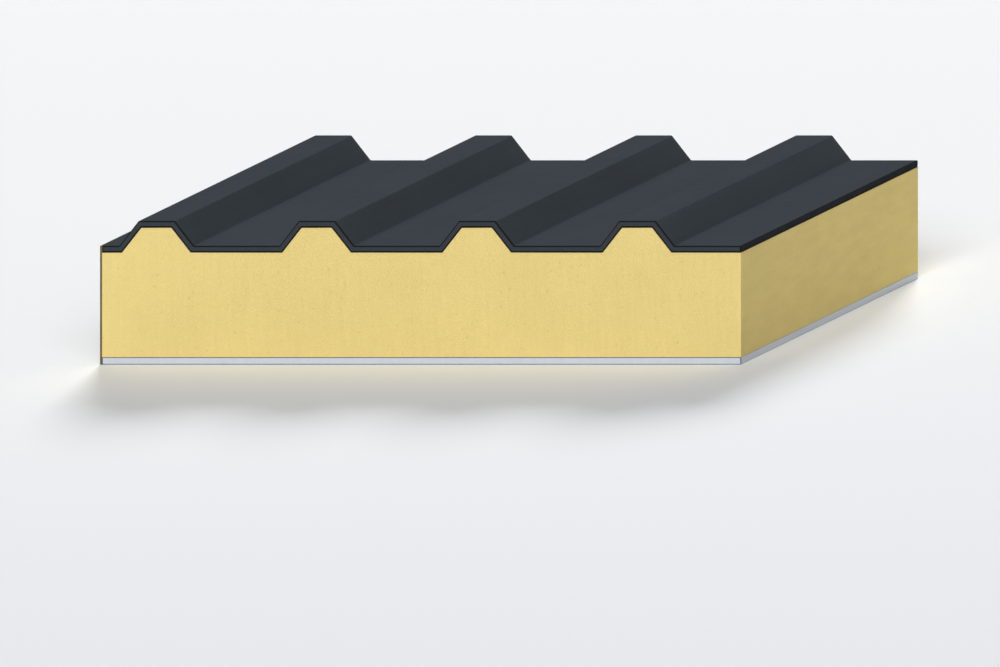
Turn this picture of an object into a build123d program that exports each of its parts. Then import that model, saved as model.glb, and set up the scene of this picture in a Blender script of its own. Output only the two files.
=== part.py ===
from build123d import *
import math
import os

# Trapezoidal roof panel: two steel facings bonded to a rigid foam core.
# All sizes in millimetres. +X runs across the ribs, +Y along them and +Z up.
# The origin is the centre of the underside.

# Driving dimensions: the panel as a whole
rib_count = 4
rib_pitch = 135.0          # from one rib's centre line to the next
panel_length = 330.0       # along the ribs
panel_thickness = 100.0    # from the underside to the top of the valleys

# Driving dimensions: the rolled ribs of the outer sheet
first_rib_offset = 47.5    # from the left outside edge to the first rib's centre line
rib_height = 21.0          # from the top of the valley to the top of the crest
rib_base_width = 63.0      # across the foot of a rib, between its outside corners
crest_width = 30.5         # across the flat crest, between its outside corners
bend_radius = 1.5          # at every fold, on the upper and on the lower face

# Driving dimensions: the layers
outer_gauge = 5.3          # thickness of the profiled outer sheet
inner_gauge = 6.3          # thickness of the flat inner sheet
tape_thickness = 1.7       # thickness of the tape on the left side

# Worked out from the sizes above
cover_width = rib_count * rib_pitch
left_edge = -cover_width / 2
right_edge = cover_width / 2
tape_face = left_edge + tape_thickness
layer_width = right_edge - tape_face
half_length = panel_length / 2
flank_run = (rib_base_width - crest_width) / 2
flank_angle = math.atan2(rib_height, flank_run)

# A corner of the sheet's lower face lies this much nearer to the rib's centre line than the
# same corner of its upper face, so that flats and flanks have the same gauge.
corner_shift = outer_gauge * math.tan(flank_angle / 2)


def rib_centre(index):
    """Place of one rib's centre line across the panel, counted from the left."""
    return left_edge + first_rib_offset + index * rib_pitch


def face_corners(valley_level, shift):
    """Corners of one face of the rolled sheet, from the left edge to the right edge."""
    half_base = rib_base_width / 2 - shift
    half_crest = crest_width / 2 - shift
    crest_level = valley_level + rib_height
    corners = [(tape_face, valley_level)]
    for index in range(rib_count):
        centre = rib_centre(index)
        corners.append((centre - half_base, valley_level))
        corners.append((centre - half_crest, crest_level))
        corners.append((centre + half_crest, crest_level))
        corners.append((centre + half_base, valley_level))
    corners.append((right_edge, valley_level))
    return corners


upper_corners = face_corners(panel_thickness, 0)
lower_corners = face_corners(panel_thickness - outer_gauge, corner_shift)

# Outer sheet: one sheet of constant gauge, folded into ribs that run the whole length
with BuildPart() as outer_sheet:
    with BuildSketch(Plane.XZ):
        with BuildLine():
            upper_face = FilletPolyline(*upper_corners, radius=bend_radius)
            lower_face = FilletPolyline(*lower_corners, radius=bend_radius)
            Line(upper_face @ 0, lower_face @ 0)
            Line(upper_face @ 1, lower_face @ 1)
        make_face()
    extrude(amount=half_length, both=True)

# Foam core: foamed against both sheets, so it fills the ribs up to the sheet's lower face
with BuildPart() as foam_core:
    with BuildSketch(Plane.XZ):
        with BuildLine():
            foam_top = FilletPolyline(*lower_corners, radius=bend_radius)
            Polyline(
                foam_top @ 1,
                (right_edge, inner_gauge),
                (tape_face, inner_gauge),
                foam_top @ 0,
            )
        make_face()
    extrude(amount=half_length, both=True)

# Inner sheet: flat and square-edged, as wide as the core that stands on it
with BuildPart() as inner_sheet:
    with BuildSketch(Plane.XZ):
        with Locations((tape_face, 0)):
            Rectangle(layer_width, inner_gauge, align=(Align.MIN, Align.MIN))
    extrude(amount=half_length, both=True)

# Side tape: one strip that covers the left side from the underside to the valley
with BuildPart() as side_tape:
    with BuildSketch(Plane.XZ):
        with Locations((left_edge, 0)):
            Rectangle(tape_thickness, panel_thickness, align=(Align.MIN, Align.MIN))
    extrude(amount=half_length, both=True)

outer_sheet.part.label = "outer_sheet"
foam_core.part.label = "foam_core"
inner_sheet.part.label = "inner_sheet"
side_tape.part.label = "side_tape"

os.makedirs("parts", exist_ok=True)
export_step(outer_sheet.part, "parts/outer_sheet.step")
export_step(foam_core.part, "parts/foam_core.step")
export_step(inner_sheet.part, "parts/inner_sheet.step")
export_step(side_tape.part, "parts/side_tape.step")

print(f"cover width {cover_width:.1f} mm, overall height {panel_thickness + rib_height:.1f} mm")
print(f"flank angle {math.degrees(flank_angle):.1f} degrees")
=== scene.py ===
# %% [markdown]
# # A steel-faced roof panel, dressed for its portrait
# The real object is a short length of insulated roof panel. A ribbed dark steel sheet lies
# on a core of yellow rigid foam, a flat pale steel sheet closes the underside, and a strip
# of brown tape covers the left side. The solids come from a CAD file and are right in size,
# so this notebook only gives them what a CAD file lacks: cut edges, sawn foam, creased
# tape, paint, light and a camera.

# %% Load the CAD solids
import math
import random

import bpy
import numpy as np
from mathutils import Matrix, Vector, noise


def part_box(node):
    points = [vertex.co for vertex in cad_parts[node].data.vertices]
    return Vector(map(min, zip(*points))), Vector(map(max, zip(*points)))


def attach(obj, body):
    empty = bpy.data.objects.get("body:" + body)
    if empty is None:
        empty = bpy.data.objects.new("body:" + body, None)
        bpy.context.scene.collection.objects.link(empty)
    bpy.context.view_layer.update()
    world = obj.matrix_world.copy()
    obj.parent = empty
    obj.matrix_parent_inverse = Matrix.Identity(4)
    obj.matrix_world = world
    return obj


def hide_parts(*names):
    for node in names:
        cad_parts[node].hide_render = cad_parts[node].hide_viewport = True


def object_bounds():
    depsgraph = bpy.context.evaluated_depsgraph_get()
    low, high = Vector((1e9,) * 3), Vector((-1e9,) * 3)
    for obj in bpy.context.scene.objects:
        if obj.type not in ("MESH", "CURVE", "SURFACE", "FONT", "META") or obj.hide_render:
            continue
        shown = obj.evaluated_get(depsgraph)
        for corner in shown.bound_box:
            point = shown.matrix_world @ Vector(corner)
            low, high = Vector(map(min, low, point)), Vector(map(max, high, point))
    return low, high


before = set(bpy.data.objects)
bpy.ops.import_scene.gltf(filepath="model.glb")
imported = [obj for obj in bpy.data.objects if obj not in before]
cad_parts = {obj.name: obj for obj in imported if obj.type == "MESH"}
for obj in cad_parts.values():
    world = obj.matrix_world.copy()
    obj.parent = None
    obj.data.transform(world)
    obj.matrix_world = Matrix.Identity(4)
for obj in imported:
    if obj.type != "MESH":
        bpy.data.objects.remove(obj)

scene = bpy.context.scene
MM = 0.001
cad_low, cad_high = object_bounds()
print("CAD box", [round(side / MM, 1) for side in cad_high - cad_low], "mm")

# %% [markdown]
# ## The places of the foam and the tape
# The two steel sheets keep their CAD solids, and the foam and the tape get finer meshes
# that have to sit exactly where their solids are. Typing the sizes again would work until
# someone changes the panel. Asking the solids is safer: the boxes of the CAD nodes give
# both places here, and the foam's own corners give its ribbed top further down.

# %% Read the layers
foam_low, foam_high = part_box("foam_core")
tape_low, tape_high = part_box("side_tape")
panel_length = cad_high.y - cad_low.y
print(f"panel {panel_length / MM:.0f} mm along the ribs")
print(f"foam from {foam_low.z / MM:.1f} to {foam_high.z / MM:.1f} mm up")

# %% [markdown]
# ## The camera
# The panel is drawn in oblique projection: the sawn end keeps its true shape, and the
# lengths along the ribs run up to the right. A camera that turns round the panel could
# only come near that, because it would squeeze the sawn end. An oblique drawing is what a
# straight, parallel camera sees when its rays arrive at a slant. So the camera looks level
# at the sawn end, and its frame is sheared, which slants the rays. A camera's own place,
# turn and scale can't hold a shear, but its link to a parent can, so it hangs on a stand.

# %% Measure the drawing's slant
PICTURE_WIDTH = 1000
PICTURE_HEIGHT = 667
PIXEL = 0.8425 * MM

# The sawn end's lower left corner, in pixels from the picture's left and upper edges
END_LEFT_PX = 100.0
END_BOTTOM_PX = 364.7

# How far the panel's length runs across and up the picture
LENGTH_RIGHT_PX = 177.3
LENGTH_UP_PX = 86.0

slant_right = LENGTH_RIGHT_PX * PIXEL / panel_length
slant_up = LENGTH_UP_PX * PIXEL / panel_length
print(f"each metre of length goes {slant_right:.3f} right and {slant_up:.3f} up")

# %% Set up the slanted camera
CAMERA_DISTANCE = 2.0
CAMERA_SIGHT = 20.0


def slanted_camera():
    """A parallel camera, level with the sawn end, whose stand slants its rays."""
    data = bpy.data.cameras.new("camera")
    data.type = "ORTHO"
    data.ortho_scale = PICTURE_WIDTH * PIXEL
    data.clip_end = CAMERA_SIGHT
    camera = bpy.data.objects.new("camera", data)
    stand = bpy.data.objects.new("camera_stand", None)
    scene.collection.objects.link(camera)
    scene.collection.objects.link(stand)
    camera.parent = stand
    middle = Vector((
        cad_low.x + (PICTURE_WIDTH / 2 - END_LEFT_PX) * PIXEL,
        cad_low.y,
        cad_low.z + (END_BOTTOM_PX - PICTURE_HEIGHT / 2) * PIXEL,
    ))
    towards_camera = Vector((slant_right, -1.0, slant_up))
    place = middle + CAMERA_DISTANCE * towards_camera
    ray = towards_camera.normalized()
    # The columns are the picture's right, its up, the way back along the rays, and the place
    camera.matrix_parent_inverse = Matrix((
        (1.0, 0.0, ray.x, place.x),
        (0.0, 0.0, ray.y, place.y),
        (0.0, 1.0, ray.z, place.z),
        (0.0, 0.0, 0.0, 1.0),
    ))
    scene.camera = camera
    return camera


camera = slanted_camera()
scene.view_settings.view_transform = "Standard"
print("camera looks over", round(camera.data.ortho_scale, 4), "m from side to side")

# %% [markdown]
# ## Light
# Studio light for a product is a few very large soft sources. Area lamps would do, but
# their strength falls off with distance, so the panel's near and far ends would differ.
# A sun lamp with a wide angle is just as soft and lights everything evenly. The ones in
# front set the sawn end against the darker right side, and a low one behind the panel
# lights the tops and leaves a soft shade on the floor towards the viewer. It stands nearly
# in line with the ribs, so that no rib shades the valley beside it. From so low behind, it
# would also gleam on the tops and wash out their colour, so it gives no highlights.

# %% Hang the lamps
def soft_sun(name, azimuth, elevation, level, angle, gleams=True):
    """Hangs a lamp and returns the light that a level floor gets from it.

    The angles are in degrees. Azimuth 0 is in front of the sawn end, and 90 is on the
    right. A surface that faces a lamp of level 1 shows its colour as it is written.
    """
    data = bpy.data.lights.new(name, "SUN")
    data.energy = math.pi * level
    data.angle = math.radians(angle)
    lamp = bpy.data.objects.new(name, data)
    lamp.visible_glossy = gleams
    scene.collection.objects.link(lamp)
    turn = math.radians(azimuth)
    lift = math.radians(elevation)
    way = Vector((
        math.sin(turn) * math.cos(lift),
        -math.cos(turn) * math.cos(lift),
        math.sin(lift),
    ))
    lamp.rotation_mode = "QUATERNION"
    lamp.rotation_quaternion = way.to_track_quat("Z", "Y")
    print(f"{name}: azimuth {azimuth}, elevation {elevation}, level {level}")
    return level * math.sin(lift)


lamp_light = (
    soft_sun("front_lamp", azimuth=12, elevation=33, level=0.58, angle=30)
    + soft_sun("front_right_lamp", azimuth=35, elevation=34, level=0.23, angle=30)
    + soft_sun("back_lamp", azimuth=197, elevation=25, level=0.98, angle=18, gleams=False)
)
print(f"the three lamps give a level floor {lamp_light:.2f} of plain light")

# %% [markdown]
# ## Helpers for making finishes
# A finish in Blender is a small network of nodes. Laying each one out by hand takes many
# lines, so the cells below use a few short helpers: one adds a node and fills in its
# sockets, and the rest make the patterns that painted steel, foam and paper share.

# %% Colours
def linear(red, green, blue):
    """A colour of 0 to 255 as shown on a screen, as the amounts of light Blender wants."""
    shares = []
    for value in (red, green, blue):
        share = value / 255
        if share <= 0.04045:
            shares.append(share / 12.92)
        else:
            shares.append(((share + 0.055) / 1.055) ** 2.4)
    return tuple(shares)


print("a screen's middle grey sends back", round(linear(128, 128, 128)[0], 2), "of the light")

# %% Nodes
SHADER = "Principled BSDF"


def add(tree, kind, inputs=None, **settings):
    """A new node. inputs gives sockets by name or number: a value, or another socket."""
    node = tree.nodes.new(kind)
    for name, value in settings.items():
        setattr(node, name, value)
    for key, value in (inputs or {}).items():
        socket = node.inputs[key]
        if isinstance(value, bpy.types.NodeSocket):
            tree.links.new(value, socket)
        elif isinstance(value, tuple) and len(value) == 3 and socket.type == "RGBA":
            socket.default_value = (*value, 1.0)
        else:
            socket.default_value = value
    return node


def new_finish(name):
    material = bpy.data.materials.new(name)
    material.use_nodes = True
    tree = material.node_tree
    return material, tree, tree.nodes[SHADER]


def wire(tree, shader, colour, roughness, relief, specular):
    """Closes a finish: three sockets go to the shader, and one number is set on it."""
    tree.links.new(colour, shader.inputs["Base Color"])
    tree.links.new(roughness, shader.inputs["Roughness"])
    tree.links.new(relief, shader.inputs["Normal"])
    shader.inputs["Specular IOR Level"].default_value = specular


print("each finish is built on the shader", SHADER)

# %% [markdown]
# A tone is a number near 1 that makes a colour lighter or darker. Noise, masks and tones
# are all plain numbers, so a few steps of arithmetic bring them together. Noise seldom
# strays far from 0.5, so it is read within a short reach of that and spread from there.

# %% Arithmetic
NOISE_REACH = 0.2


def maths(tree, operation, first, second=0.0, third=0.0):
    inputs = {0: first, 1: second, 2: third}
    return add(tree, "ShaderNodeMath", inputs, operation=operation).outputs[0]


def product(tree, first, *others):
    """All the numbers multiplied, in their order."""
    for other in others:
        first = maths(tree, "MULTIPLY", first, other)
    return first


def ramp(tree, value, low, high, to_low=0.0, to_high=1.0):
    """value from low to high becomes to_low to to_high, and no more."""
    inputs = {"Value": value, 1: low, 2: high, 3: to_low, 4: to_high}
    return add(tree, "ShaderNodeMapRange", inputs).outputs[0]


def around(tree, pattern, middle, spread, reach=NOISE_REACH):
    """Noise within reach of 0.5 becomes middle, give or take spread."""
    return ramp(tree, pattern, 0.5 - reach, 0.5 + reach, middle - spread, middle + spread)


def only_where(tree, mask, tone):
    """A tone that holds where mask is 1, and gives way to 1 where mask is 0."""
    return ramp(tree, mask, 0.0, 1.0, 1.0, tone)


print("noise is read from", 0.5 - NOISE_REACH, "to", 0.5 + NOISE_REACH)

# %% Patterns
def place_in(tree, stretch=(1.0, 1.0, 1.0)):
    """Where a point of the piece is, in metres, each axis times its stretch."""
    where = add(tree, "ShaderNodeTexCoord").outputs["Object"]
    node = add(tree, "ShaderNodeVectorMath", {0: where, 1: stretch}, operation="MULTIPLY")
    return node.outputs[0]


def cloud(tree, size_mm, stretch=(1.0, 1.0, 1.0), detail=2.0):
    """Soft noise with features of about size_mm. A stretch below 1 draws them out."""
    inputs = {"Vector": place_in(tree, stretch), "Scale": 1 / (size_mm * MM), "Detail": detail}
    return add(tree, "ShaderNodeTexNoise", inputs).outputs["Fac"]


def mix(tree, share, first, second):
    """The first colour at share 0, the second at 1. Sockets 6 and 7 are the two colours."""
    inputs = {"Factor": share, 6: first, 7: second}
    return add(tree, "ShaderNodeMix", inputs, data_type="RGBA").outputs[2]


def shaded(tree, colour, tone):
    inputs = {0: colour, "Scale": tone}
    return add(tree, "ShaderNodeVectorMath", inputs, operation="SCALE").outputs[0]


def bump(tree, height, depth_mm, under=None):
    """Relief in the shading. under is the relief that this one lies on."""
    inputs = {"Height": height, "Distance": depth_mm * MM, "Strength": 1.0}
    if under is not None:
        inputs["Normal"] = under
    return add(tree, "ShaderNodeBump", inputs).outputs[0]


print(f"noise with features of 5 mm has a scale of {1 / (5 * MM):.0f} to the metre")

# %% [markdown]
# ## The painted outer sheet
# The sheet is steel with a matt anthracite paint, baked on before the ribs were rolled.
# Such paint is very even: from close by it shows a fine leathery skin, faint lines left by
# the rollers along the ribs, and a slightly paler film where a fold stretched it, which is
# also a painted highlight along the bends. The flanks are painted a little lighter than the
# flats, as painted light, and the slit edge on the right is painted darker, as painted
# shade. One material does all of this, because the shader knows which way each face looks:
# the folds look sideways and up, the sawn ends look along the ribs, and the slit edge looks
# right.

# %% Which way a face looks
def facing(tree):
    """How much the surface looks across the ribs, along them, and up, each from -1 to 1."""
    normal = add(tree, "ShaderNodeTexCoord").outputs["Normal"]
    return add(tree, "ShaderNodeSeparateXYZ", {0: normal}).outputs


def looks(tree, part, low, high):
    """From 0 to 1 as the surface turns to an axis, either way. part is one from facing."""
    return ramp(tree, maths(tree, "ABSOLUTE", part), low, high)


BARELY_UP = 0.1
outer_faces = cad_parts["outer_sheet"].data.polygons
upward = [face.normal.z for face in outer_faces if face.normal.z > BARELY_UP]
print(f"the flanks look up by {min(upward):.2f}, and the flats by {max(upward):.2f}")

# %% Paint for the outer sheet
SHEET_PAINT = linear(62, 68, 74)
SHEET_END = linear(52, 58, 64)
# The slit edge is cut steel, painted much darker as painted shade on the sheet's right side
SLIT_EDGE_AND_SHADE = linear(12, 18, 24)
# Folds: a paler film where the paint stretched, and also a painted highlight along the bends
FOLD_STRETCH_AND_HIGHLIGHT = 1.07
# Painted light: the flanks are made a little lighter than the flats
FLANK_PAINTED_LIGHT = 1.05

# How much a face looks up where the folds begin and end, and where the flanks end
FOLD_BEGINS = (0.62, 0.70)
FOLD_ENDS = (0.95, 0.985)
FLANK_ENDS = (0.60, 0.75)


def outer_paint(tree, up, skin):
    """The paint, with a painted highlight on the folds and painted light on the flanks."""
    haze = around(tree, cloud(tree, 90, detail=3.0), 1.0, 0.035)
    roller_lines = around(tree, cloud(tree, 5, (1.0, 0.03, 1.0), 3.0), 1.0, 0.03)
    skin_tone = around(tree, skin, 1.0, 0.015)
    fold = product(tree, ramp(tree, up, *FOLD_BEGINS), ramp(tree, up, *FOLD_ENDS, 1.0, 0.0))
    # A paler film on the folds, partly a painted highlight
    fold_stretch_and_highlight = only_where(tree, fold, FOLD_STRETCH_AND_HIGHLIGHT)
    # Painted light that makes the flanks a little lighter
    painted_flank_light = ramp(tree, up, *FLANK_ENDS, FLANK_PAINTED_LIGHT, 1.0)
    tone = product(tree, haze, roller_lines, skin_tone, fold_stretch_and_highlight, painted_flank_light)
    return shaded(tree, SHEET_PAINT, tone)


def outer_coating():
    material, tree, shader = new_finish("anthracite_coating")
    across, along, up = facing(tree)
    skin = cloud(tree, 1.6)
    shear_lines = cloud(tree, 1.1, (1.0, 1.0, 0.08), 3.0)
    end_colour = shaded(tree, SHEET_END, around(tree, shear_lines, 1.0, 0.07, reach=0.25))
    # The slit edge on the right: cut steel, darkened further as painted shade
    slit_lines = cloud(tree, 1.1, (1.0, 0.05, 1.0), 3.0)
    slit_edge_and_shade_colour = shaded(tree, SLIT_EDGE_AND_SHADE, around(tree, slit_lines, 1.0, 0.08, reach=0.25))
    on_end = looks(tree, along, 0.65, 0.75)
    on_side = looks(tree, across, 0.93, 0.97)
    colour = mix(tree, on_end, outer_paint(tree, up, skin), end_colour)
    colour = mix(tree, on_side, colour, slit_edge_and_shade_colour)
    rough = around(tree, cloud(tree, 14), 0.70, 0.04)
    rough = maths(tree, "MULTIPLY_ADD", on_end, 0.08, rough)
    relief = bump(tree, skin, 0.05)
    relief = bump(tree, cloud(tree, 45, (1.0, 0.15, 1.0)), 0.35, relief)
    wire(tree, shader, colour, rough, relief, specular=0.12)
    return material


anthracite_coating = outer_coating()
print(len(anthracite_coating.node_tree.nodes), "nodes in", anthracite_coating.name)

# %% [markdown]
# ## The line along each cut
# Where a sheet is cut, the paint breaks off a hair from the edge and the edge itself is
# pressed over. From a distance this is the thin dark line that runs round the cut end. It
# could be painted on, but a line that is really there catches light and shade from every
# side. A Bevel modifier breaks each sharp edge by a millimetre or less and gives the new
# narrow faces a material of their own. On the outer sheet the narrow faces that look down
# are near black: painted shade under the edge, where the sheet meets the foam.

# %% Finish of the broken edges
def cut_edge(name, end_tones, side_tones, roughness):
    """Two pairs of tones, for edges that look up and down: at the sawn ends, and at the sides."""
    material, tree, shader = new_finish(name)
    across, along, up = facing(tree)
    looks_up = ramp(tree, up, -0.1, 0.1)
    at_end = mix(tree, looks_up, end_tones[1], end_tones[0])
    at_side = mix(tree, looks_up, side_tones[1], side_tones[0])
    on_side = looks(tree, across, 0.35, 0.45)
    off_end = looks(tree, along, 0.30, 0.20)
    colour = mix(tree, product(tree, on_side, off_end), at_end, at_side)
    tone = around(tree, cloud(tree, 2.5, detail=4.0), 1.0, 0.12)
    rough = around(tree, cloud(tree, 1.2), roughness, 0.05)
    relief = bump(tree, cloud(tree, 0.8, detail=3.0), 0.02)
    wire(tree, shader, shaded(tree, colour, tone), rough, relief, specular=0.05)
    return material


# On the outer sheet the tones that look down are painted shade under the edge
outer_cut_edge = cut_edge(
    "outer_cut_edge",
    end_tones=(linear(26, 30, 32), linear(8, 10, 18)),
    side_tones=(linear(40, 44, 48), linear(8, 10, 18)),
    roughness=0.75,
)
inner_cut_edge = cut_edge(
    "inner_cut_edge",
    end_tones=(linear(90, 106, 136), linear(106, 116, 130)),
    side_tones=(linear(190, 195, 200), linear(190, 195, 200)),
    roughness=0.65,
)
print("edge finishes:", outer_cut_edge.name, inner_cut_edge.name)

# %% [markdown]
# The CAD file stores each face with corners of its own, cut into triangles. Before a bevel
# can run round the edges, the Weld modifier joins the doubled corners, and the Decimate
# modifier in its planar mode turns each flat side back into one face.

# %% Break the sharp edges of a sheet
SAME_CORNER = 0.001 * MM
FLAT_WITHIN = math.radians(0.5)
SHARP_FROM = math.radians(60)
BEVEL_SEGMENTS = 2
OUTER_BEVEL = 1.0 * MM


def break_edges(node, face_finish, edge_finish, width):
    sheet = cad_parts[node]
    sheet.data.materials.clear()
    sheet.data.materials.append(face_finish)
    sheet.data.materials.append(edge_finish)
    weld = sheet.modifiers.new("join_corners", "WELD")
    weld.merge_threshold = SAME_CORNER
    flat = sheet.modifiers.new("one_face_a_side", "DECIMATE")
    flat.decimate_type = "DISSOLVE"
    flat.angle_limit = FLAT_WITHIN
    edge = sheet.modifiers.new("broken_edges", "BEVEL")
    edge.limit_method = "ANGLE"
    edge.angle_limit = SHARP_FROM
    edge.width = width
    edge.segments = BEVEL_SEGMENTS
    edge.material = 1
    edge.use_clamp_overlap = False
    bpy.context.view_layer.update()
    made = sheet.evaluated_get(bpy.context.evaluated_depsgraph_get()).to_mesh()
    count = sum(1 for face in made.polygons if face.material_index == 1)
    print(f"{node}: {len(made.polygons)} faces, {count} of them along the cut edges")


break_edges("outer_sheet", anthracite_coating, outer_cut_edge, OUTER_BEVEL)

# %% [markdown]
# ## The pale inner sheet
# The flat sheet below has a light grey paint, thinner and a little smoother than the one
# on top, because it only faces a room. It gets the same recipe with fewer steps: haze,
# roller lines and a fine skin, and its own tone on the cut ends.

# %% Paint for the inner sheet
INNER_PAINT = linear(207, 212, 218)
INNER_END = linear(201, 207, 214)
INNER_BEVEL = 0.7 * MM


def inner_coating():
    material, tree, shader = new_finish("pale_grey_coating")
    along = facing(tree)[1]
    haze = around(tree, cloud(tree, 70, detail=3.0), 1.0, 0.025)
    roller_lines = around(tree, cloud(tree, 6, (1.0, 0.03, 1.0), 3.0), 1.0, 0.02)
    painted = shaded(tree, INNER_PAINT, product(tree, haze, roller_lines))
    shear_lines = cloud(tree, 1.2, (1.0, 1.0, 0.08), 3.0)
    end_colour = shaded(tree, INNER_END, around(tree, shear_lines, 1.0, 0.035, reach=0.25))
    colour = mix(tree, looks(tree, along, 0.65, 0.75), painted, end_colour)
    rough = around(tree, cloud(tree, 14), 0.56, 0.04)
    relief = bump(tree, cloud(tree, 1.6), 0.015)
    wire(tree, shader, colour, rough, relief, specular=0.2)
    return material


pale_grey_coating = inner_coating()
break_edges("inner_sheet", pale_grey_coating, inner_cut_edge, INNER_BEVEL)

# %% [markdown]
# ## The sawn foam
# Rigid foam is a mass of tiny closed cells. A saw opens them, so a sawn end is velvety, has
# faint waves across the cut where the blade drifted, and a few pits where a larger bubble
# was. The CAD solid has two dead flat ends. A block of finer mesh takes its place here: a
# net of small squares on each end and on the right side, which can be pushed in a little.
# It is only ever pushed inwards, so the block stays inside the solid and under the sheet.

# %% Follow the underside of the ribs
FOAM_NET = 1.35 * MM
SHORTEST_SIDE = 0.6 * MM


def underside_line():
    """Corners of the foam's top edge in the CAD solid, from left to right."""
    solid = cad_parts["foam_core"].data
    corners = set()
    for vertex in solid.vertices:
        if vertex.co.y < foam_low.y + MM and vertex.co.z > foam_low.z + MM:
            corners.add((round(vertex.co.x, 6), round(vertex.co.z, 6)))
    kept = []
    for corner in sorted(corners):
        if not kept or math.dist(corner, kept[-1]) > SHORTEST_SIDE:
            kept.append(corner)
    return kept


def fine_line(corners, longest):
    """The same line with points no further apart than longest."""
    points = []
    for start, end in zip(corners, corners[1:]):
        parts = max(1, math.ceil(math.dist(start, end) / longest))
        for step in range(parts):
            share = step / parts
            points.append((
                start[0] + (end[0] - start[0]) * share,
                start[1] + (end[1] - start[1]) * share,
            ))
    points.append(corners[-1])
    return points


foam_columns = fine_line(underside_line(), FOAM_NET)
foam_rows = math.ceil((foam_columns[0][1] - foam_low.z) / FOAM_NET)
print(len(foam_columns), "columns and", foam_rows, "rows of net on each sawn end")

# %% [markdown]
# Each end gets its own pits, drawn from a random generator with a fixed seed, so that the
# panel is the same every time. A pit is a soft round dent. How deep a corner of the net
# lies in a pit is also written down on the mesh, for the foam's colour to use later: it
# darkens the pit with painted shade.

# %% Pits
PIT_COUNT = 85
PIT_RADIUS = (0.9 * MM, 1.9 * MM)
PIT_STRENGTH = (0.4, 1.0)
PIT_MARGIN_ACROSS = 4 * MM
PIT_MARGIN_UP = 3 * MM


def scatter_pits(seed):
    """Each pit: its place on the end, its radius and its strength."""
    dice = random.Random(seed)
    pits = []
    for _ in range(PIT_COUNT):
        x = dice.uniform(foam_low.x + PIT_MARGIN_ACROSS, foam_high.x - PIT_MARGIN_ACROSS)
        z = dice.uniform(foam_low.z + PIT_MARGIN_UP, foam_high.z - PIT_MARGIN_UP)
        pits.append((x, z, dice.uniform(*PIT_RADIUS), dice.uniform(*PIT_STRENGTH)))
    return pits


def pit_depths(points, pits):
    """For each point, 0 outside the pits to 1 at the bottom of the deepest."""
    depth = np.zeros(len(points))
    for x, z, radius, strength in pits:
        near = np.hypot(points[:, 0] - x, points[:, 1] - z) / radius
        dent = np.clip(1 - near, 0, 1)
        depth = np.maximum(depth, strength * dent * dent * (3 - 2 * dent))
    return depth


front_pits = scatter_pits(seed=11)
back_pits = scatter_pits(seed=12)
widest = 2 * max(radius for x, z, radius, strength in front_pits)
print(len(front_pits), "pits on the front end, widest", round(widest / MM, 1), "mm")

# %% [markdown]
# A blade leaves a mark with each stroke, a little slanted, and wanders as it goes down. A
# sine wave makes the strokes, smooth noise bends them, and finer noise stands for the torn
# cells. All of it could be drawn in the shading, but the net is there for the pits anyway,
# so the marks are cut into it as well.

# %% Saw marks
SAW_RECESS = 0.09 * MM
SAW_WAVE = 0.03 * MM
SAW_STROKE = 6.5 * MM
SAW_SLANT = 0.12
DRIFT_BEND = 2.0
CELL_RELIEF = 0.025 * MM
PIT_DEPTH = 0.7 * MM

# Steps of noise to a metre: the blade's drift across and down, and the torn cells
DRIFT_ACROSS = 90
DRIFT_DOWN = 12
CELL_FINENESS = 640


def wobble(first, second, seed):
    """Smooth noise between -1 and 1 that changes over steps of 1."""
    return noise.noise(Vector((first, second, seed)))


def saw_cut(points, pits, seed):
    """How far in each point of a sawn end lies, and how deep it is in a pit."""
    depth = pit_depths(points, pits)
    inward = np.empty(len(points))
    for index, (x, z) in enumerate(points):
        drift = wobble(x * DRIFT_ACROSS, z * DRIFT_DOWN, seed)
        turn = 2 * math.pi * (x + SAW_SLANT * z) / SAW_STROKE
        stroke = math.sin(turn + DRIFT_BEND * drift)
        cells = wobble(x * CELL_FINENESS, z * CELL_FINENESS, seed)
        inward[index] = SAW_RECESS + SAW_WAVE * stroke + CELL_RELIEF * cells
    return inward + PIT_DEPTH * depth, depth


print("saw marks", SAW_STROKE / MM, "mm apart, and pits up to", PIT_DEPTH / MM, "mm deep")

# %% [markdown]
# A modifier could divide the faces of the CAD solid, but those are long thin triangles, and
# their parts would be long and thin too. So the net is woven from plain lists of points and
# faces. Both ends share the same columns and rows, and the right side is a third net
# between them. The top, the bottom and the left side are hidden by their neighbours and
# stay plain.

# %% Dents of the right side and its corners
SIDE_RIM = 3 * MM
SIDE_WAVE = 0.22 * MM
SIDE_SKIN = 0.05 * MM
CRUMBLE = 0.16 * MM

# Steps of noise to a metre: the waves of the right side, its skin, and the crumbs
WAVES_ALONG = 30
WAVES_UP = 55
SKIN_FINENESS = 300
CRUMB_FINENESS = 850


def side_dent(y, z):
    """The moulded right side is smoother: shallow waves that fade out at its rim."""
    rim = min(z - foam_low.z, foam_columns[-1][1] - z, y - foam_low.y, foam_high.y - y)
    fade = min(1.0, max(0.0, rim / SIDE_RIM))
    wave = 0.5 + 0.5 * wobble(y * WAVES_ALONG, z * WAVES_UP, seed=7.0)
    skin = 0.5 + 0.5 * wobble(y * SKIN_FINENESS, z * SKIN_FINENESS, seed=9.0)
    return fade * (SIDE_WAVE * wave + SIDE_SKIN * skin)


def crumble(z, end):
    """Foam crumbles along a free corner: how much is gone at this height."""
    return CRUMBLE * (1 + wobble(z * CRUMB_FINENESS, end, seed=5.0))


print(f"the right side dips by up to {(SIDE_WAVE + SIDE_SKIN) / MM:.2f} mm")

# %% Points of the foam
SIDE_NET = 2.4 * MM
ON_CORNER = 0.1 * MM
foam_steps = math.ceil(panel_length / SIDE_NET)


def end_points():
    points = []
    for x, top in foam_columns:
        for row in range(foam_rows + 1):
            points.append((x, foam_low.z + (top - foam_low.z) * row / foam_rows))
    return np.array(points)


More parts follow.
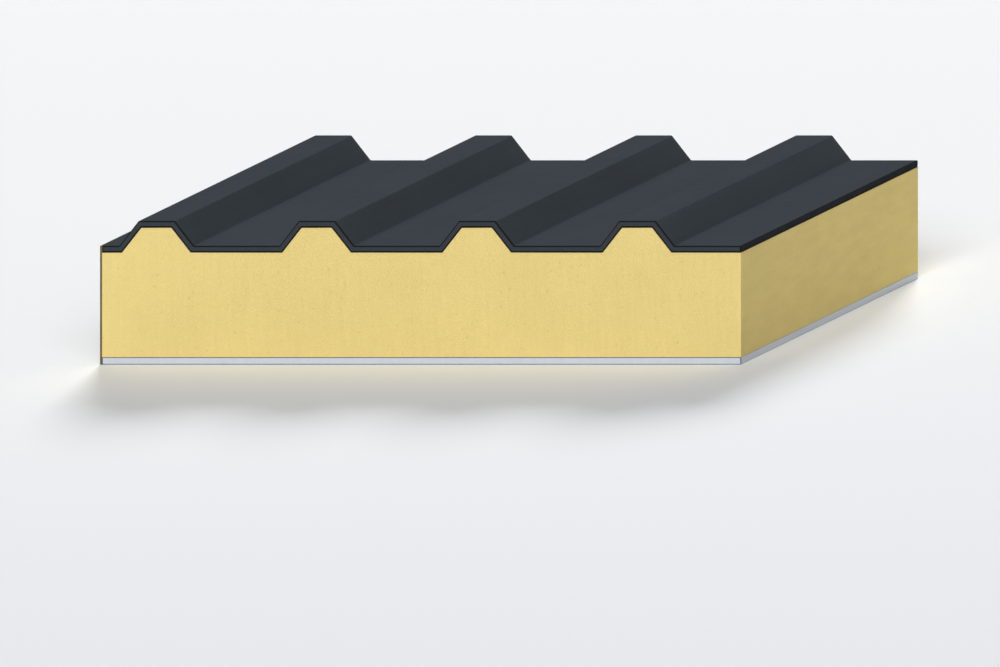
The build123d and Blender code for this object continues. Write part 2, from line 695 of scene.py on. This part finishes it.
def foam_vertices():
    """Points of both ends and of the right side, and how deep each lies in a pit."""
    flat = end_points()
    front_in, front_pit = saw_cut(flat, front_pits, 1.0)
    back_in, back_pit = saw_cut(flat, back_pits, 2.0)
    points = []
    for wall, way, inward, end in (
        (foam_low.y, 1, front_in, 1.0),
        (foam_high.y, -1, back_in, 2.0),
    ):
        for (x, z), depth in zip(flat, inward):
            worn = crumble(z, end) if x > foam_high.x - ON_CORNER else 0.0
            points.append((x - worn, wall + way * (depth + worn), z))
    pits = list(front_pit) + list(back_pit)
    rim_top = foam_columns[-1][1]
    for step in range(1, foam_steps):
        for row in range(foam_rows + 1):
            y = foam_low.y + panel_length * step / foam_steps
            z = foam_low.z + (rim_top - foam_low.z) * row / foam_rows
            points.append((foam_high.x - side_dent(y, z), y, z))
            pits.append(0.0)
    return points, pits


foam_points, foam_pits = foam_vertices()
print(len(foam_points), "points,", sum(1 for depth in foam_pits if depth > 0), "of them in pits")

# %% Faces of the foam
def fan(hub, rim, far):
    """Triangles from one corner to each stretch of a rim, and one more to the far corner."""
    return [(hub, start, end) for start, end in zip(rim, rim[1:])] + [(hub, rim[-1], far)]


def foam_faces():
    """The points are numbered up each column: front end, then back end, then right side."""
    tall = foam_rows + 1
    wide = len(foam_columns)
    back = wide * tall
    side = 2 * wide * tall
    last = (wide - 1) * tall

    def side_point(step, row):
        if step == 0:
            return last + row
        if step == foam_steps:
            return back + last + row
        return side + (step - 1) * tall + row

    faces = []
    for column in range(wide - 1):
        for row in range(foam_rows):
            a = column * tall + row
            faces.append((a, a + tall, a + tall + 1, a + 1))
            faces.append((back + a, back + a + 1, back + a + tall + 1, back + a + tall))
    for step in range(foam_steps):
        for row in range(foam_rows):
            faces.append((
                side_point(step, row),
                side_point(step + 1, row),
                side_point(step + 1, row + 1),
                side_point(step, row + 1),
            ))
    for column in range(wide - 2):
        low = column * tall
        top = low + foam_rows
        faces.append((top, top + tall, back + top + tall, back + top))
        faces.append((back + low, back + low + tall, low + tall, low))
    low = (wide - 2) * tall
    top = low + foam_rows
    upper_rim = [side_point(step, foam_rows) for step in range(foam_steps + 1)]
    lower_rim = [side_point(step, 0) for step in range(foam_steps, -1, -1)]
    faces += fan(top, upper_rim, back + top)
    faces += fan(back + low, lower_rim, low)
    faces += [(row, row + 1, back + row + 1, back + row) for row in range(foam_rows)]
    return faces


foam_net = foam_faces()
print(len(foam_net), "faces")

# %% [markdown]
# ## The foam's colour
# Fresh rigid foam is the yellow of pale honey. It clouds slowly over the length of the
# panel, and each cell is a speck of its own. On the sawn ends each open cell is a little
# darker in its hollow, as painted shade. A few cells there are burst and painted dark, as
# painted shade in the holes, and a few are whole and painted bright, as a painted glint.
# The right side was foamed against a mould, so its skin is closed and plainer, with a rare
# pinhole painted dark the same way, and the whole side is painted a little darker, as
# painted shade. The material reads which way a face looks to tell the sawn ends from the
# moulded side. It also reads two numbers written on the mesh: how deep a point lies in a
# pit, which darkens the pit with painted shade, and how far it is below the sheet, where
# the foam is denser and stuck on with a dark line of glue, made near black with painted
# shade under the sheet.

# %% Tones of the foam
FOAM = linear(229, 207, 134)
DENSE_FOAM = (0.6 * MM, 3.5 * MM)
DENSE_TONE = 0.965
# The moulded right side is painted darker, as painted shade on that side, with its skin's
# mottling
MOULDED_SKIN_AND_SHADE = 0.93

# A cell grows paler from its middle to its wall: painted shade in each open cell's hollow
CELL_MIDDLE = 0.05
CELL_WALL = 0.65
CELL_HOLLOW_SHADE = (0.945, 1.025)


def foam_tone(tree, cells, grain, flow, sawn, moulded, depth):
    haze = around(tree, cloud(tree, 60, detail=3.0), 1.0, 0.02)
    fine = around(tree, grain, 1.0, 0.03)
    dense = ramp(tree, depth, *DENSE_FOAM, DENSE_TONE, 1.0)
    # The moulded side's mottling, and painted shade that darkens the whole side
    moulded_skin_and_shade = only_where(tree, moulded, around(tree, flow, MOULDED_SKIN_AND_SHADE, 0.03))
    # Painted shade in the hollow of each open cell
    cell_hollow_shade = ramp(tree, cells, CELL_MIDDLE, CELL_WALL, *CELL_HOLLOW_SHADE)
    saw_lines = around(tree, cloud(tree, 3.2, (1.0, 1.0, 0.07), 3.0), 1.0, 0.015)
    sawn_tone = only_where(tree, sawn, product(tree, cell_hollow_shade, saw_lines))
    return product(tree, haze, fine, dense, moulded_skin_and_shade, sawn_tone)


print(f"the foam is denser in the {DENSE_FOAM[1] / MM} mm below the sheet")

# %% Marks on the foam
# Painted shade for the pits, the burst cells and the pinholes
FOAM_PAINTED_SHADE = linear(176, 148, 80)
CELL_GLINT = linear(240, 223, 160)
# A dark line of glue under the sheet, made near black as painted shade where the sheet meets the
# foam
GLUE_AND_SHADE = linear(20, 24, 30)
GLUE_AND_SHADE_LINE = (0.35 * MM, 0.60 * MM)
FLECKS_A_METRE = 400.0
FLECK_FADE = (0.14, 0.26)
FLECK_SHARE = 0.03
PINHOLE_SHARE = 0.006

# How far each mark covers the foam
PIT_SHADE_COVER = 0.35
BURST_SHADE_COVER = 0.5
CELL_GLINT_COVER = 0.6
GLUE_AND_SHADE_COVER = 0.9


def written(tree, name):
    """A number that is written on the mesh, point by point."""
    return add(tree, "ShaderNodeAttribute", attribute_name=name).outputs["Fac"]


def foam_marks(tree, colour, sawn, depth):
    """Painted shade in pits and holes, a painted glint, and the glue with painted shade."""
    # Pits are darkened with painted shade
    pit_shade = product(tree, written(tree, "pit_depth"), PIT_SHADE_COVER)
    colour = mix(tree, pit_shade, colour, FOAM_PAINTED_SHADE)
    inputs = {"Vector": place_in(tree), "Scale": FLECKS_A_METRE}
    flecks = add(tree, "ShaderNodeTexVoronoi", inputs)
    picked = add(tree, "ShaderNodeSeparateColor", {0: flecks.outputs["Color"]}).outputs[0]
    spot = ramp(tree, flecks.outputs["Distance"], *FLECK_FADE, 1.0, 0.0)
    few = ramp(tree, sawn, 0.0, 1.0, PINHOLE_SHARE, FLECK_SHARE)
    # Burst cells and pinholes: painted shade in the holes
    burst = product(tree, maths(tree, "LESS_THAN", picked, few), spot, BURST_SHADE_COVER)
    colour = mix(tree, burst, colour, FOAM_PAINTED_SHADE)
    # Whole cells: a painted glint
    bright = maths(tree, "GREATER_THAN", picked, 1 - FLECK_SHARE)
    bright = product(tree, bright, spot, sawn, CELL_GLINT_COVER)
    colour = mix(tree, bright, colour, CELL_GLINT)
    # The glue line, darkened with painted shade under the sheet
    glue_and_shade = ramp(tree, depth, *GLUE_AND_SHADE_LINE, GLUE_AND_SHADE_COVER, 0.0)
    return mix(tree, glue_and_shade, colour, GLUE_AND_SHADE)


print(f"{FLECK_SHARE:.0%} of the spots on a sawn end are burst cells, and as many are bright")

# %% Foam finish
CELLS_A_METRE = 1250.0
CELL_STRETCH = (1.0, 1.0, 0.7)


def foam_finish():
    material, tree, shader = new_finish("rigid_foam")
    across, along = facing(tree)[0:2]
    sawn = looks(tree, along, 0.5, 0.8)
    moulded = ramp(tree, across, 0.7, 0.9)
    depth = written(tree, "below_sheet")
    inputs = {"Vector": place_in(tree, CELL_STRETCH), "Scale": CELLS_A_METRE}
    cells = add(tree, "ShaderNodeTexVoronoi", inputs).outputs["Distance"]
    grain = cloud(tree, 0.8, detail=4.0)
    flow = cloud(tree, 9, (1.0, 0.3, 1.0), 4.0)
    colour = shaded(tree, FOAM, foam_tone(tree, cells, grain, flow, sawn, moulded, depth))
    colour = foam_marks(tree, colour, sawn, depth)
    rough = around(tree, cloud(tree, 4.0), 0.91, 0.05)
    relief = bump(tree, product(tree, cells, sawn), 0.22)
    relief = bump(tree, grain, 0.10, relief)
    relief = bump(tree, product(tree, flow, moulded), 0.25, relief)
    wire(tree, shader, colour, rough, relief, specular=0.1)
    return material


rigid_foam = foam_finish()
print(len(rigid_foam.node_tree.nodes), "nodes in the foam's finish")

# %% Build the foam block
SHADE_SHARP_FROM = math.radians(50)


def build_piece(name, points, faces, finish):
    mesh = bpy.data.meshes.new(name)
    mesh.from_pydata(points, [], faces)
    mesh.validate()
    mesh.shade_smooth()
    mesh.set_sharp_from_angle(angle=SHADE_SHARP_FROM)
    mesh.materials.append(finish)
    piece = bpy.data.objects.new(name, mesh)
    scene.collection.objects.link(piece)
    return piece


def write_on_mesh(piece, name, values):
    layer = piece.data.attributes.new(name, "FLOAT", "POINT")
    layer.data.foreach_set("value", values)


def depth_below_sheet(points):
    """How far under the sheet each point lies, straight down."""
    line = np.array(foam_columns)
    return [np.interp(x, line[:, 0], line[:, 1]) - z for x, y, z in points]


foam_block = build_piece("foam_block", foam_points, foam_net, rigid_foam)
write_on_mesh(foam_block, "pit_depth", foam_pits)
write_on_mesh(foam_block, "below_sheet", depth_below_sheet(foam_points))
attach(foam_block, "root")
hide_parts("foam_core")
print("foam_block:", len(foam_block.data.vertices), "points")

# %% [markdown]
# ## The tape on the left side
# A strip of stout brown paper tape keeps the foam in on the left. It was pressed on by
# hand, so it has shallow blisters and a few straight creases, most of them running across
# the strip. The outside is a net again and is pushed in where the tape dips, while the
# four rims and the hidden back stay plain. Each crease is a short straight line with a
# depth, drawn from a seeded generator.

# %% Creases in the tape
CREASE_COUNT = 16
CREASE_WIDTH = 1.3 * MM
CREASE_LEAN = 28
CREASE_REACH = (14 * MM, 48 * MM)
CREASE_STRENGTH = (0.35, 1.0)


def draw_creases(seed):
    """Each crease: its middle, its lean from upright, its reach either way, its strength."""
    dice = random.Random(seed)
    creases = []
    for _ in range(CREASE_COUNT):
        y = dice.uniform(tape_low.y, tape_high.y)
        z = dice.uniform(tape_low.z, tape_high.z)
        lean = math.radians(dice.gauss(0, CREASE_LEAN))
        creases.append((y, z, lean, dice.uniform(*CREASE_REACH), dice.uniform(*CREASE_STRENGTH)))
    return creases


def crease_depths(y, z, creases):
    """For each point, 0 off the creases to 1 in the deepest."""
    depth = np.zeros(len(y))
    for middle_y, middle_z, lean, reach, strength in creases:
        off = (y - middle_y) * math.cos(lean) - (z - middle_z) * math.sin(lean)
        along = (y - middle_y) * math.sin(lean) + (z - middle_z) * math.cos(lean)
        dent = np.clip(1 - np.abs(off) / CREASE_WIDTH, 0, 1)
        depth = np.maximum(depth, strength * dent * np.clip(1 - (along / reach) ** 2, 0, 1))
    return depth


tape_creases = draw_creases(seed=21)
longest_crease = 2 * max(reach for y, z, lean, reach, strength in tape_creases)
print(len(tape_creases), "creases, the longest", round(longest_crease / MM), "mm")

# %% Points of the tape
TAPE_NET = 0.8 * MM
TAPE_RIM = 4 * MM
RIM_SHARE = 0.1
CREASE_DEPTH = 0.36 * MM
BLISTER_DEPTH = 0.25 * MM

# Steps of noise to a metre, for the blisters
BLISTERS_ALONG = 40
BLISTERS_UP = 55
tape_height = tape_high.z - tape_low.z
tape_steps = math.ceil(panel_length / TAPE_NET)
tape_rows = math.ceil(tape_height / TAPE_NET)


def tape_points():
    """Points of the outside, and how deep each lies in a crease. The rim dips least."""
    steps, rows = np.divmod(np.arange((tape_steps + 1) * (tape_rows + 1)), tape_rows + 1)
    y = tape_low.y + panel_length * steps / tape_steps
    z = tape_low.z + tape_height * rows / tape_rows
    crease = crease_depths(y, z, tape_creases)
    places = zip(y * BLISTERS_ALONG, z * BLISTERS_UP)
    blisters = np.array([wobble(along, up, seed=3.0) for along, up in places])
    rim = np.minimum(np.minimum(z - tape_low.z, tape_high.z - z),
                     np.minimum(y - tape_low.y, tape_high.y - y))
    fade = np.clip(rim / TAPE_RIM, RIM_SHARE, 1)
    inward = fade * (BLISTER_DEPTH * (0.5 + 0.5 * blisters) + CREASE_DEPTH * crease)
    return list(zip(tape_low.x + inward, y, z)), list(crease)


outside, creased = tape_points()
print(len(outside), "points on the outside")

# %% Faces of the tape
def tape_faces(first):
    """The net, a band round its rim and the back. first is the number of the rim's copy."""
    tall = tape_rows + 1
    faces = []
    for step in range(tape_steps):
        for row in range(tape_rows):
            a = step * tall + row
            faces.append((a, a + 1, a + tall + 1, a + tall))
    rim = list(range(tall))
    rim += [step * tall + tape_rows for step in range(1, tape_steps + 1)]
    rim += [tape_steps * tall + row for row in range(tape_rows - 1, -1, -1)]
    rim += [step * tall for step in range(tape_steps - 1, 0, -1)]
    for place, index in enumerate(rim):
        following = (place + 1) % len(rim)
        faces.append((rim[following], index, first + place, first + following))
    faces.append(tuple(range(first + len(rim) - 1, first - 1, -1)))
    return faces, rim


tape_net, tape_rim = tape_faces(len(outside))
inside = [(tape_high.x, outside[index][1], outside[index][2]) for index in tape_rim]
print(len(tape_net), "faces, and", len(inside), "points round the back")

# %% [markdown]
# Brown packing paper is pressed from long fibres. Their lengths show as fine streaks, in
# tones from straw to umber, and the creases wear a little paler. The paper is matt. Along
# the top rim it is sealed with the sheet's own paint.

# %% Tape finish
TAPE = linear(129, 117, 75)
# The tape's cut end is painted darker than its face: painted shade
TAPE_END_SHADE = linear(105, 95, 54)
WORN_TONE = 1.10


def tape_finish():
    material, tree, shader = new_finish("kraft_tape")
    along, up = facing(tree)[1:3]
    haze = around(tree, cloud(tree, 45, detail=3.0), 1.0, 0.07)
    fibres = cloud(tree, 0.9, (1.0, 0.09, 1.0), 4.0)
    fibre_tone = around(tree, fibres, 1.0, 0.10, reach=0.22)
    strands = cloud(tree, 3.5, (1.0, 0.25, 1.0), 3.0)
    strand_tone = around(tree, strands, 1.0, 0.05)
    worn_tone = only_where(tree, written(tree, "crease"), WORN_TONE)
    tone = product(tree, haze, fibre_tone, strand_tone, worn_tone)
    # The cut end gets the darker tone, as painted shade
    paper = mix(tree, looks(tree, along, 0.6, 0.8), TAPE, TAPE_END_SHADE)
    colour = mix(tree, ramp(tree, up, 0.6, 0.8), shaded(tree, paper, tone), SHEET_PAINT)
    rough = around(tree, cloud(tree, 5.0), 0.74, 0.06)
    relief = bump(tree, fibres, 0.07)
    relief = bump(tree, strands, 0.10, relief)
    wire(tree, shader, colour, rough, relief, specular=0.2)
    return material


kraft_tape = tape_finish()
print(len(kraft_tape.node_tree.nodes), "nodes in the tape's finish")

# %% Build the tape
edge_tape = build_piece("edge_tape", outside + inside, tape_net, kraft_tape)
write_on_mesh(edge_tape, "crease", creased + [0.0] * len(inside))
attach(edge_tape, "root")
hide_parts("side_tape")
print("edge_tape:", len(edge_tape.data.polygons), "faces")

# %% [markdown]
# ## Floor and surroundings
# The panel stands on a pale floor that runs far past the edges of the picture, so there is
# no horizon. The light on a studio floor falls off a little towards the viewer. The floor's
# own colour paints that fall-off here, as painted shade, with no extra light on the panel.
# Its tones are divided by the light that a level floor gets, so that they show as they are
# written.

# %% Tones of the floor
GLOW = 0.08
floor_light = lamp_light + GLOW

# The floor's tones, darker towards the viewer as painted shade, and where along the
# ribs each one is reached, in metres
FLOOR_NEAR = linear(231, 233, 236)
FLOOR_MIDDLE = linear(239, 241, 243)
FLOOR_FAR = linear(245, 246, 247)
NEAR_PLACE = -1.30
MIDDLE_PLACE = -0.05
FAR_PLACE = 1.20


def scaled(colour, factor):
    return tuple(min(1.0, part * factor) for part in colour)


def floor_tone(tree, along, strength):
    """From near to far: along is a socket with metres along the ribs."""
    near, middle, far = [scaled(tone, strength) for tone in (FLOOR_NEAR, FLOOR_MIDDLE, FLOOR_FAR)]
    colour = mix(tree, ramp(tree, along, NEAR_PLACE, MIDDLE_PLACE), near, middle)
    return mix(tree, ramp(tree, along, MIDDLE_PLACE, FAR_PLACE), colour, far)


print(f"a level floor gets {floor_light:.2f} of plain light in all")

# %% Lay the floor
FLOOR_HALF_SIZE = 20.0


def floor_finish():
    material, tree, shader = new_finish("studio_floor")
    where = add(tree, "ShaderNodeNewGeometry").outputs["Position"]
    along = add(tree, "ShaderNodeSeparateXYZ", {0: where}).outputs[1]
    tree.links.new(floor_tone(tree, along, 1 / floor_light), shader.inputs["Base Color"])
    shader.inputs["Roughness"].default_value = 1.0
    shader.inputs["Specular IOR Level"].default_value = 0.0
    return material


def lay_floor(half_size):
    mesh = bpy.data.meshes.new("floor")
    corners = [(-1, -1), (1, -1), (1, 1), (-1, 1)]
    points = [(x * half_size, y * half_size, cad_low.z) for x, y in corners]
    mesh.from_pydata(points, [], [(0, 1, 2, 3)])
    mesh.materials.append(floor_finish())
    floor = bpy.data.objects.new("floor", mesh)
    scene.collection.objects.link(floor)
    return floor


floor = lay_floor(FLOOR_HALF_SIZE)
print("floor is", round(floor.dimensions.x), "m wide")

# %% [markdown]
# The world above is a weak even glow, a hair blue, that keeps reflections from going black.
# In a very low view, part of the picture misses the floor and shows the world below the
# horizon. There the world carries on in the tone that the floor has a little over a metre
# from the panel, on the side that the view comes from.

# %% World
LOW_VIEW_DISTANCE = 1.2
HORIZON_BLEND = 0.02
GLOW_BLUE = 1.03


def surroundings():
    world = bpy.data.worlds.new("studio")
    scene.world = world
    world.use_nodes = True
    tree = world.node_tree
    way = add(tree, "ShaderNodeTexCoord").outputs["Generated"]
    along, up = add(tree, "ShaderNodeSeparateXYZ", {0: way}).outputs[1:3]
    below = floor_tone(tree, maths(tree, "MULTIPLY", along, -LOW_VIEW_DISTANCE), 1.0)
    above = (GLOW, GLOW, GLOW * GLOW_BLUE)
    colour = mix(tree, ramp(tree, up, -HORIZON_BLEND, 0.0), below, above)
    tree.links.new(colour, tree.nodes["Background"].inputs["Color"])


surroundings()
print("world glow", GLOW)
